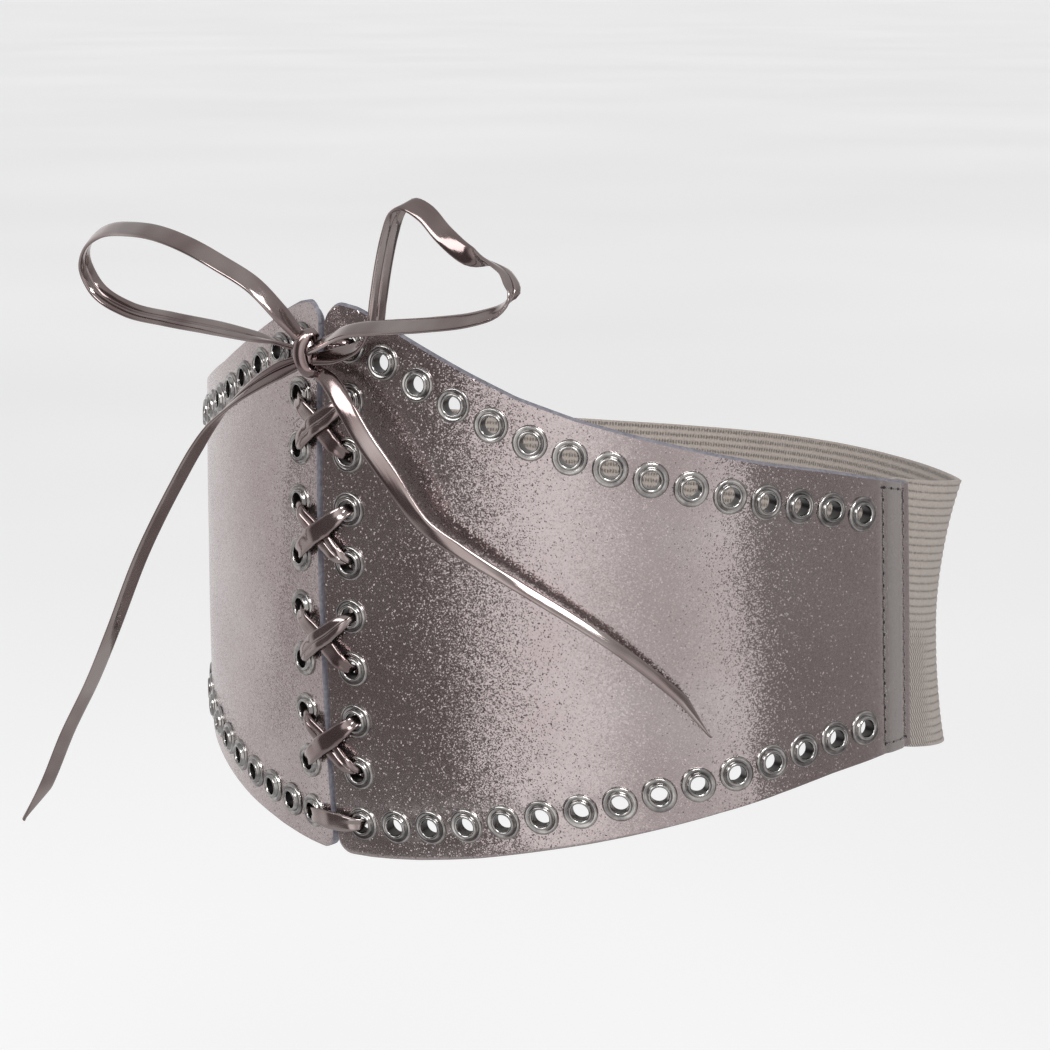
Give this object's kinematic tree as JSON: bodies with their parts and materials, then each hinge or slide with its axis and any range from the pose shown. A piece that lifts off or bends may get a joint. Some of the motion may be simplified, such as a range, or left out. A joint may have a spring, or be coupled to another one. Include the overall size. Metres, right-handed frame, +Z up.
{
  "type": "lace-up corset belt",
  "caption": "Wide waist belt of two curved metallic leather panels with eyelet borders, laced and tied at the centre front, closed by an elastic band round the back.",
  "frame": {"origin": "on the upright axis of the waist that wears the belt, 76 mm below the panels' top corners at the centre front", "axes": "+Z up, -Y out of the centre front where the belt is laced, +X to the viewer's right from the front (the wearer's left)"},
  "size_m": [0.237, 0.2392, 0.1942],
  "materials": {
    "pewter_leather": "pewter metallic faux leather, fine pebbled grain, satin sheen",
    "lace_leather": "the same faux leather folded into a flat glossy lace",
    "taupe_elastic": "woven ribbed elastic, matt",
    "nickel": "antique nickel, polished rolled rim"
  },
  "bodies": {
    "root": {"panel_right": "pewter_leather", "panel_left": "pewter_leather", "elastic_back": "taupe_elastic", "lacing": "lace_leather", "bow_knot": "lace_leather", "bow_loop_left": "lace_leather", "bow_loop_right": "lace_leather", "lace_tail_left": "lace_leather", "lace_tail_right": "lace_leather", "eyelet_right_1": "nickel", "eyelet_right_2": "nickel", "eyelet_right_3": "nickel", "eyelet_right_4": "nickel", "eyelet_right_5": "nickel", "eyelet_right_6": "nickel", "eyelet_right_7": "nickel", "eyelet_right_8": "nickel", "eyelet_right_9": "nickel", "eyelet_right_10": "nickel", "eyelet_left_1": "nickel", "eyelet_left_2": "nickel", "eyelet_left_3": "nickel", "eyelet_left_4": "nickel", "eyelet_left_5": "nickel", "eyelet_left_6": "nickel", "eyelet_left_7": "nickel", "eyelet_left_8": "nickel", "eyelet_left_9": "nickel", "eyelet_left_10": "nickel"}
  },
  "joints": []
}
